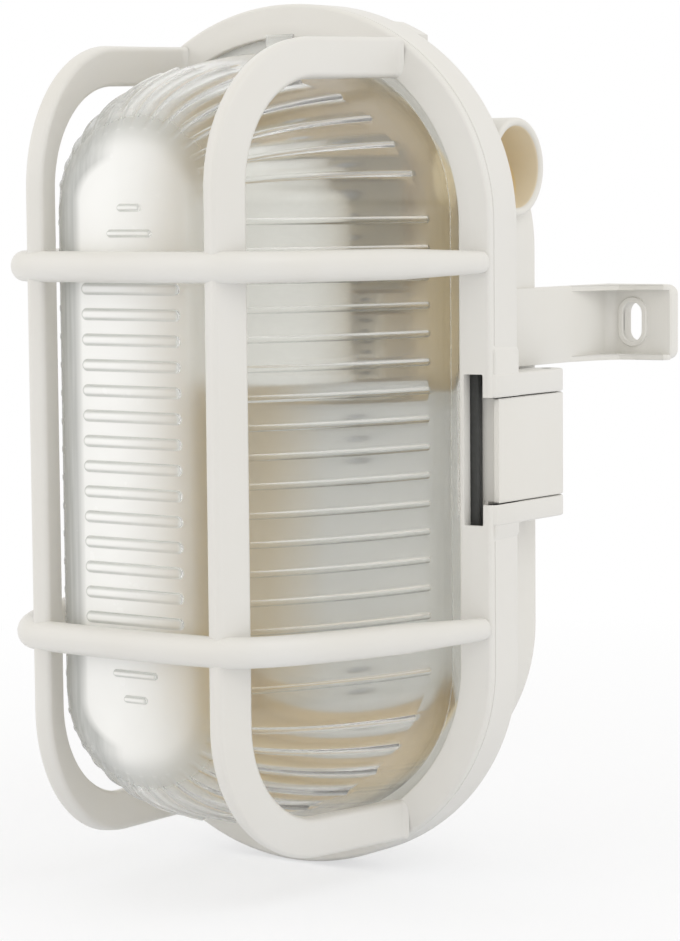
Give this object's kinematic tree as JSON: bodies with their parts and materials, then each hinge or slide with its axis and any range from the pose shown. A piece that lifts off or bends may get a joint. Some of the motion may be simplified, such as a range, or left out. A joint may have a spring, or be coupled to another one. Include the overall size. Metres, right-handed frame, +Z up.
{
  "type": "oval wall light",
  "caption": "Oval bulkhead wall light on stand-off feet, with a hinged wire-style guard over a clear ribbed diffuser, lampholder and terminals.",
  "frame": {"origin": "on the wall plane that both feet rest on, level with the middle of the light and in the middle of its width", "axes": "+Z up, -Y out of the wall towards the room, +X to the hinge side"},
  "size_m": [0.1396, 0.1409, 0.2128],
  "materials": {
    "base_housing": "fine satin",
    "bracket_screw_lower": "zinc plated",
    "bracket_screw_upper": "zinc plated",
    "centre_contact": "plain",
    "closing_insert": "plain",
    "closing_screw": "satin",
    "diffuser": "clear, ribbed",
    "gasket": "matt",
    "guard_cage": "fine satin",
    "hinge_pin": "satin",
    "holder_bracket": "zinc plated",
    "holder_screw_left": "zinc plated",
    "holder_screw_right": "zinc plated",
    "lampholder_body": "glazed",
    "reflector_plate": "bright rolled",
    "reflector_screw_lower": "zinc plated",
    "reflector_screw_upper": "zinc plated",
    "terminal_block": "plain",
    "terminal_clamp_1": "plain",
    "terminal_clamp_2": "plain",
    "terminal_clamp_3": "plain",
    "terminal_screw_1_lower": "satin",
    "terminal_screw_1_upper": "satin",
    "terminal_screw_2_lower": "satin",
    "terminal_screw_2_upper": "satin",
    "terminal_screw_3_lower": "satin",
    "terminal_screw_3_upper": "satin",
    "threaded_shell": "plain"
  },
  "bodies": {
    "base": {"base_housing": "base_housing", "bracket_screw_lower": "bracket_screw_lower", "bracket_screw_upper": "bracket_screw_upper", "centre_contact": "centre_contact", "closing_insert": "closing_insert", "gasket": "gasket", "hinge_pin": "hinge_pin", "holder_bracket": "holder_bracket", "holder_screw_left": "holder_screw_left", "holder_screw_right": "holder_screw_right", "lampholder_body": "lampholder_body", "reflector_plate": "reflector_plate", "reflector_screw_lower": "reflector_screw_lower", "reflector_screw_upper": "reflector_screw_upper", "terminal_block": "terminal_block", "terminal_clamp_1": "terminal_clamp_1", "terminal_clamp_2": "terminal_clamp_2", "terminal_clamp_3": "terminal_clamp_3", "terminal_screw_1_lower": "terminal_screw_1_lower", "terminal_screw_1_upper": "terminal_screw_1_upper", "terminal_screw_2_lower": "terminal_screw_2_lower", "terminal_screw_2_upper": "terminal_screw_2_upper", "terminal_screw_3_lower": "terminal_screw_3_lower", "terminal_screw_3_upper": "terminal_screw_3_upper", "threaded_shell": "threaded_shell"},
    "guard": {"guard_cage": "guard_cage", "diffuser": "diffuser", "closing_screw": "closing_screw"}
  },
  "joints": [
    {"name": "guard_hinge", "type": "hinge", "parent": "base", "child": "guard", "pos_m": [0.056, -0.0419, 0], "axis": [0, 0, 1], "range_deg": [0, 110]}
  ]
}
